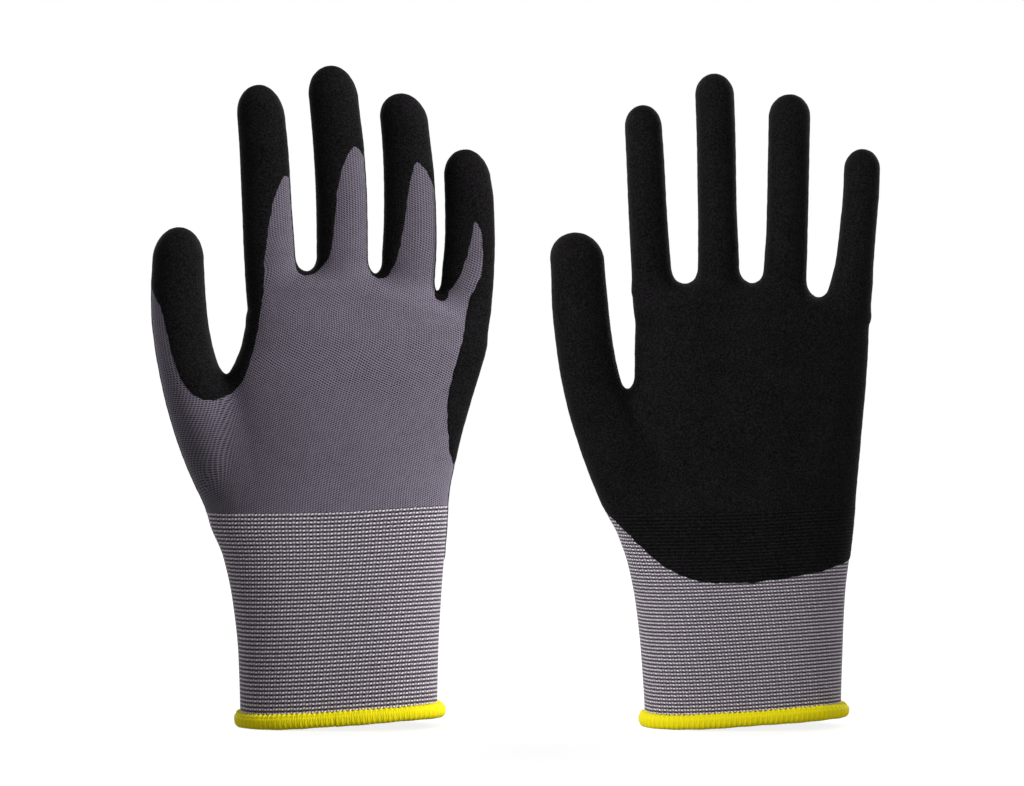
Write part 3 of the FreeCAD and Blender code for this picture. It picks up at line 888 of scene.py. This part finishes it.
# ---- the cuff and the hem, as grids that follow the fabric's rows
def rings_at(glove, heights, columns, twist=0.0):
    """Points round the glove at each height, evenly spaced along its girth from the back.

    With a twist, the columns drift round the cuff by that many points up to its top.
    """
    level, turns = np.meshgrid(heights, np.linspace(0, 2 * math.pi, 361), indexing="ij")
    centre = glove.hand.middle(level)
    dx, dp = np.sin(turns), -np.cos(turns)
    near, far = np.full_like(level, 3.0), np.full_like(level, 75.0)
    for _ in range(18):  # halve the gap to the surface each time
        half = (near + far) / 2
        inside = glove.distance(centre + dx * half, dp * half, level) < 0
        near = np.where(inside, half, near)
        far = np.where(inside, far, half)
    rings = []
    for x, p, z in zip(centre + dx * near, dp * near, heights):
        walk = np.concatenate([[0], np.cumsum(np.hypot(np.diff(x), np.diff(p)))])
        turned = np.arange(columns) + twist * (z / CUFF_TOP) ** 1.5
        want = walk[-1] * (turned / columns % 1.0)
        rings.append(np.stack([np.interp(want, walk, x), np.interp(want, walk, p)], axis=1))
    return np.array(rings)


def outward_2d(ring):
    """Outward normals of a closed ring of (x, p) points that leaves the back towards +x."""
    along = np.roll(ring, -1, axis=0) - np.roll(ring, 1, axis=0)
    return unit(np.stack([along[:, 1], -along[:, 0]], axis=1))


def beside(ring, normal, out, z):
    """The points of a ring moved out along its normals, at a height."""
    return np.column_stack([ring + normal * np.reshape(out, (-1, 1)), np.zeros(len(ring)) + z])


def grid_faces(rows, columns, closed_rows):
    """Quads over a grid whose columns close into a ring, and its rows too if asked."""
    faces = []
    for r in range(rows if closed_rows else rows - 1):
        s = (r + 1) % rows
        for c in range(columns):
            d = (c + 1) % columns
            faces.append((r * columns + c, r * columns + d, s * columns + d, s * columns + c))
    return faces


def make_ring(glove, name, co, across, up, material, closed, turns):
    """A grid piece round the glove, from its rows and its places on the fabric."""
    uv = np.stack(np.meshgrid(across, up), axis=-1).reshape(-1, 2)
    faces = grid_faces(len(up), len(across), closed)
    return make_object(glove, glove.name + name, np.vstack(co), uv, faces, material, turns=turns)


def make_cuff(glove):
    """The cuff's wall: outside with its rows of elastic, and a smooth inside."""
    columns = WALES_CUFF * 2
    count = round((CUFF_TOP - CUFF_FOOT) / glove.elastic_row * 4) + 1
    heights = np.linspace(CUFF_FOOT, CUFF_TOP, count)
    coarse = np.linspace(CUFF_FOOT, CUFF_TOP, 30)
    rings = rings_at(glove, coarse, columns, 2 * CUFF_TWIST)
    rings = np.apply_along_axis(lambda line: np.interp(heights, coarse, line), 0, rings)
    wale = np.arange(columns) / 2.0
    row = (heights - CUFF_TOP) / glove.elastic_row
    stitch = (0.5 - 0.5 * np.cos(2 * math.pi * wale)) * (1 - 0.35 * (np.floor(wale) % 2))
    outer, inner = [], []
    for ring, z, place in zip(rings, heights, row):
        normal = outward_2d(ring)
        crest = math.exp(-((place % 1.0 - 0.5) / 0.24) ** 2)
        relief = 0.17 * crest * (0.35 + 0.65 * stitch) - 0.05
        ease = smooth_step(z, CUFF_TOP - 0.1, CUFF_TOP - 1.2)
        outer.append(beside(ring, normal, relief * ease, z))
        inner.append(beside(ring, normal, -LINER_WALL, z))
    return make_ring(glove, "_cuff_fabric", outer + inner[::-1], wale, [*row, *row[::-1]], CUFF,
                     False, (WALES_CUFF, 0))


def make_elastic(glove):
    """The elastic yarn against the inside of the cuff, one ring for each row of dots."""
    columns, sides, radius = 120, 5, 0.24
    rows = np.arange(1, int(CUFF_TOP / glove.elastic_row))
    heights = CUFF_TOP - (rows - 0.5) * glove.elastic_row
    heights = heights[(heights > 7.5) & (heights < CUFF_TOP - 1)]
    co, faces = [], []
    for ring, z in zip(rings_at(glove, heights, columns), heights):
        normal = outward_2d(ring)
        base = len(co) * columns
        faces += [tuple(base + i for i in f) for f in grid_faces(sides, columns, True)]
        for angle in 2 * math.pi * np.arange(sides) / sides:
            out = -LINER_WALL - radius + radius * math.cos(angle)
            co.append(beside(ring, normal, out, z + radius * math.sin(angle)))
    around = np.arange(len(co)) % sides / sides
    uv = np.stack(np.meshgrid(np.arange(columns) / 2.0, around), axis=-1)
    return make_object(glove, glove.name + "_cuff_elastic_yarn", np.vstack(co),
                       uv.reshape(-1, 2), faces, ELASTIC)


def make_hem(glove):
    """The yellow overlock: a ribbed roll round the cuff's raw edge, with small loops on top."""
    steps, sides = 10, 42
    ring = rings_at(glove, [HEM_MIDDLE], HEM_RIBS * steps)[0]
    normal = outward_2d(ring)
    rib = np.arange(len(ring)) / steps
    uneven = 1 + 0.03 * np.sin(rib * 0.37) + 0.02 * np.sin(rib * 1.31 + 1.0)
    flare = 2.45 + 0.9 * smooth_step(ring[:, 0], 15.0, 38.0)
    co = []
    for angle in 2 * math.pi * np.arange(sides) / sides:
        cosine, sine = math.cos(angle), math.sin(angle)
        wave = np.abs(np.cos(math.pi * (rib + 0.35 * sine)))
        groove = 0.17 * (1 - wave ** 0.6) + 0.34 * math.exp(-((angle - 0.62) / 0.15) ** 2)
        loops = 0.24 * max(0.0, sine) ** 6 * np.cos(2 * math.pi * (rib + 0.25))
        out = flare * math.copysign(abs(cosine) ** 0.8, cosine) * uneven - groove * cosine
        up = 2.95 * math.copysign(abs(sine) ** 0.85, sine) * uneven - groove * sine * 0.6 + loops
        co.append(beside(ring, normal, out, np.maximum(HEM_MIDDLE + up, 0.05)))
    return make_ring(glove, "_hem_overlock", co, rib, np.arange(sides) / sides, HEM, True,
                     (HEM_RIBS, 1))


# ---- one glove
def dress(piece, nodes, motion):
    """Makes a piece stand for CAD nodes, and ride on one body, or stay fixed where it is when given
    two.
    """
    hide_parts(*nodes)
    if isinstance(motion, str):
        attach(piece, motion)
    else:
        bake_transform(piece)


def dress_section(glove, name, section, motion):
    """The knit and the film of one section of a finger or the thumb, whose tip is one node."""
    knit_node, film_node = name + "_knit", name + "_coating"
    if name.endswith("_tip"):
        knit_node = film_node = name
    liner = shell(glove, name + "_fabric", section, 0.0, LINER_WALL, KNIT)
    dress(liner, [knit_node], motion)
    dress(film_piece(glove, name + "_film", section), [film_node], motion)


def build_finger(glove, key, whole):
    side = glove.name + "_"
    cuts = [glove.hinges[key + "_base"][1] - BASE_BELOW,
            glove.hinges[key + "_middle"][1] - JOINT_BELOW,
            glove.hinges[key + "_tip"][1] - JOINT_BELOW]
    bodies = [side + "hand"] + [side + key + part for part in ("_base", "_middle", "_end")]
    for k, part in enumerate(("_base", "_middle", "_tip")):
        section = whole
        if k > 0:
            section = section.cut(section.co[:, 2] - cuts[k])
        if k < 2:
            section = section.cut(cuts[k + 1] - section.co[:, 2])
        x = glove.tubes[key].middle(cuts[k])
        ends = glove.ends(x, cuts[k], UPRIGHT, 0.0, JOINT_BEND if k else BASE_BEND)
        dress_section(glove, side + key + part, section, (bodies[k], bodies[k + 1], *ends))


def build_thumb(glove, whole):
    side = glove.name + "_"
    past_joint = glove.above("thumb_tip", whole.co) + JOINT_BELOW
    for part, section, low, first, second in (
            ("thumb_base", whole.cut(-past_joint), 0.0, "hand", "thumb_base"),
            ("thumb_tip", whole.cut(past_joint), -JOINT_BELOW, "thumb_base", "thumb_end")):
        ends = glove.ends(*glove.hinges[part], low, low + JOINT_BEND)
        dress_section(glove, side + part, section, (side + first, side + second, *ends))


def build_cuff(glove):
    side = glove.name + "_"
    wrist_z = glove.hinges["wrist"][1]
    motion = (side + "cuff", side + "hand", *glove.ends(0.0, wrist_z, UPRIGHT, *WRIST_BEND))
    dress(make_cuff(glove), [side + "cuff_knit", side + "wrist_knit"], motion)
    dress(make_elastic(glove), [side + "cuff_elastic"], motion)
    dress(make_hem(glove), [side + "cuff_hem"], side + "cuff")


def build(data):
    glove = Glove(data)
    side = glove.name + "_"
    sheet = surface_of(glove)
    x, _, z = sheet.co.T
    column = glove.finger_column(sheet.co)
    is_thumb = (x < thumb_crotch(glove)[0]) & (z > THUMB_FROM) & (glove.nearest(sheet.co) != 1)
    starts = np.array([glove.hinges[key + "_base"][1] - BASE_BELOW for key in FINGERS])
    beyond = np.where(is_thumb, glove.above("thumb_base", sheet.co), z - starts[column])
    hand = sheet.cut(-beyond)
    above_cuff = hand.cut(hand.co[:, 2] - CUFF_TOP)
    liner = shell(glove, side + "hand_fabric", above_cuff, 0.0, LINER_WALL, KNIT)
    dress(liner, [side + "hand_knit"], side + "hand")
    film = film_piece(glove, side + "palm_film", hand)
    dress(film, [side + "palm_coating"], side + "hand")
    for number, key in enumerate(FINGERS):
        of_finger = (column == number) & ~is_thumb
        build_finger(glove, key, sheet.cut(np.where(of_finger, beyond, -1.0)))
    build_thumb(glove, sheet.cut(np.where(is_thumb, beyond, -1.0)))
    build_cuff(glove)


for outlines in (RIGHT, LEFT):
    build(outlines)


# ---- camera, floor and light
EYE_HEIGHT = 0.1318
EYE_BACK = 1.20
EYE_X = -0.0014
VIEW_WIDTH = 0.4062     # width of the picture at the gloves, in metres

camera = in_scene("camera", bpy.data.cameras.new("camera"))
camera.location = (EYE_X, -EYE_BACK, EYE_HEIGHT)
camera.rotation_euler = (math.pi / 2, 0.0, 0.0)
camera.data.lens = camera.data.sensor_width * EYE_BACK / VIEW_WIDTH
bpy.context.scene.camera = camera


def seen_straight(n):
    """1 where the camera, a reflection or clear material looks straight at a thing."""
    path = n.new("LightPath").outputs
    seen = n.math("MAXIMUM", path["Is Camera Ray"], path["Is Glossy Ray"])
    return n.math("MAXIMUM", seen, path["Is Transmission Ray"])


def make_floor():
    """A white floor that the camera sees as white paper with the gloves' soft shadow on it."""
    half = 6.0
    square = [(-half, -half, 0), (half, -half, 0), (half, half, 0), (-half, half, 0)]
    mesh = bpy.data.meshes.new("floor")
    mesh.from_pydata(square, [], [(0, 1, 2, 3)])
    floor = in_scene("floor", mesh)
    n = Nodes(bpy.data.materials.new("floor_white"))
    plain = n.new("BsdfDiffuse", Color=(0.62, 0.62, 0.62, 1.0))
    paper = n.new("BsdfDiffuse", Color=(0.45, 0.45, 0.45, 1.0))
    glow = n.new("Emission", Strength=0.85)
    lit = n.new("AddShader", paper.outputs[0], glow.outputs[0])
    mix = n.new("MixShader", seen_straight(n), plain.outputs[0], lit.outputs[0])
    n.new("OutputMaterial", mix.outputs[0])
    mesh.materials.append(n.owner)


def make_world():
    """Soft light from all round, white where the camera looks past the gloves."""
    world = bpy.data.worlds.new("studio")
    bpy.context.scene.world = world
    n = Nodes(world)
    light = n.new("Background", Color=(1.0, 1.0, 1.0, 1.0), Strength=0.325)
    white = n.new("Background", Color=(1.0, 1.0, 1.0, 1.0), Strength=1.0)
    mix = n.new("MixShader", seen_straight(n), light.outputs[0], white.outputs[0])
    n.new("OutputWorld", mix.outputs[0])


def make_lamp(name, place, target, size, power, only=None):
    """A square lamp. With only, it lights just that glove, as if shot by itself."""
    lamp = in_scene(name, bpy.data.lights.new(name, "AREA"))
    lamp.data.energy = power
    lamp.data.size = size
    lamp.location = place
    direction = Vector(target) - Vector(place)
    lamp.rotation_euler = direction.to_track_quat("-Z", "Y").to_euler()
    if only:
        lit = bpy.data.collections.new("lit_by_" + name)
        for obj in bpy.context.scene.objects:
            if obj.type == "MESH" and obj.name.startswith(only):
                lit.objects.link(obj)
        lamp.light_linking.receiver_collection = lit


make_floor()
make_world()
MIDDLE = (0.0, 0.0, 0.13)
RIGHT_GLOVE = (-0.07, 0.0, 0.13)
LEFT_GLOVE = (0.09, 0.0, 0.13)
make_lamp("right_key", (1.1, -0.6, 0.75), RIGHT_GLOVE, 0.5, 24.0, "right_")
make_lamp("left_key", (-1.1, -0.6, 0.65), LEFT_GLOVE, 0.5, 15.0, "left_")
make_lamp("left_fill", (0.7, -1.0, 0.4), LEFT_GLOVE, 0.5, 3.0, "left_")
make_lamp("back_left", (-0.9, 1.0, 0.7), MIDDLE, 0.8, 5.0)
make_lamp("back_right", (0.9, 1.0, 0.7), MIDDLE, 0.8, 5.0)

bpy.context.scene.view_settings.view_transform = "Standard"
